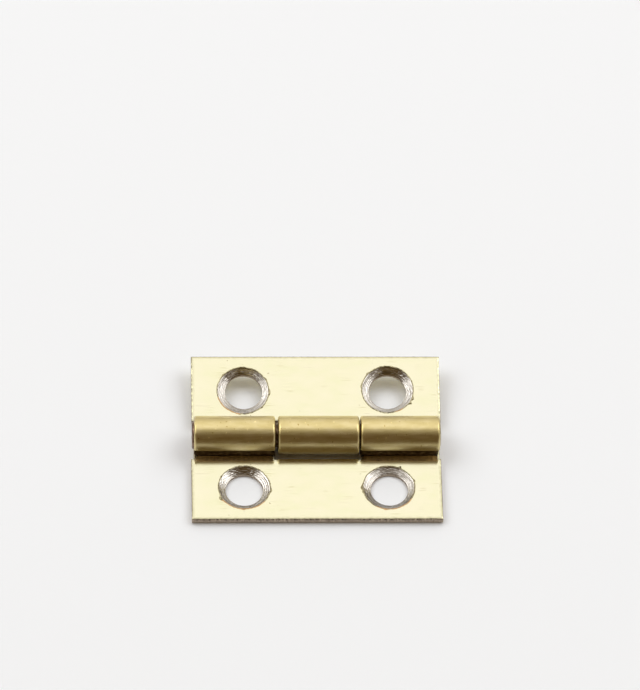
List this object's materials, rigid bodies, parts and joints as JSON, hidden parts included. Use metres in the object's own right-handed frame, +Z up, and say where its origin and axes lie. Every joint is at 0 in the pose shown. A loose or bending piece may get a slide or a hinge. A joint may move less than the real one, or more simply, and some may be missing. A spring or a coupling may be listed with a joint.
{
  "type": "small box hinge",
  "caption": "Small pressed butt hinge for boxes: countersunk leaves with curled knuckles, turning on a peened pin, shown lying open.",
  "frame": {"origin": "midway between the near leaf's screw holes, on its back face, which is the face that lies on the surface", "axes": "+X along the pin, +Y from the near leaf to the far leaf, +Z up, out of the countersunk face"},
  "size_m": [0.0255, 0.0191, 0.0039],
  "materials": {
    "plated_sheet": "brass plating on steel, polished on the leaves and satin on the barrel, with bare steel countersinks and sheared edges",
    "pin_wire": "plain drawn steel wire, dulled at the peened end"
  },
  "bodies": {
    "near_side": {"near_leaf": "plated_sheet", "hinge_pin": "pin_wire"},
    "far_side": {"far_leaf": "plated_sheet"}
  },
  "joints": [
    {"name": "leaf_fold", "type": "hinge", "parent": "near_side", "child": "far_side", "pos_m": [0, 0.00565, 0.00197], "axis": [1, 0, 0], "range_deg": [-103.5, 184]}
  ]
}
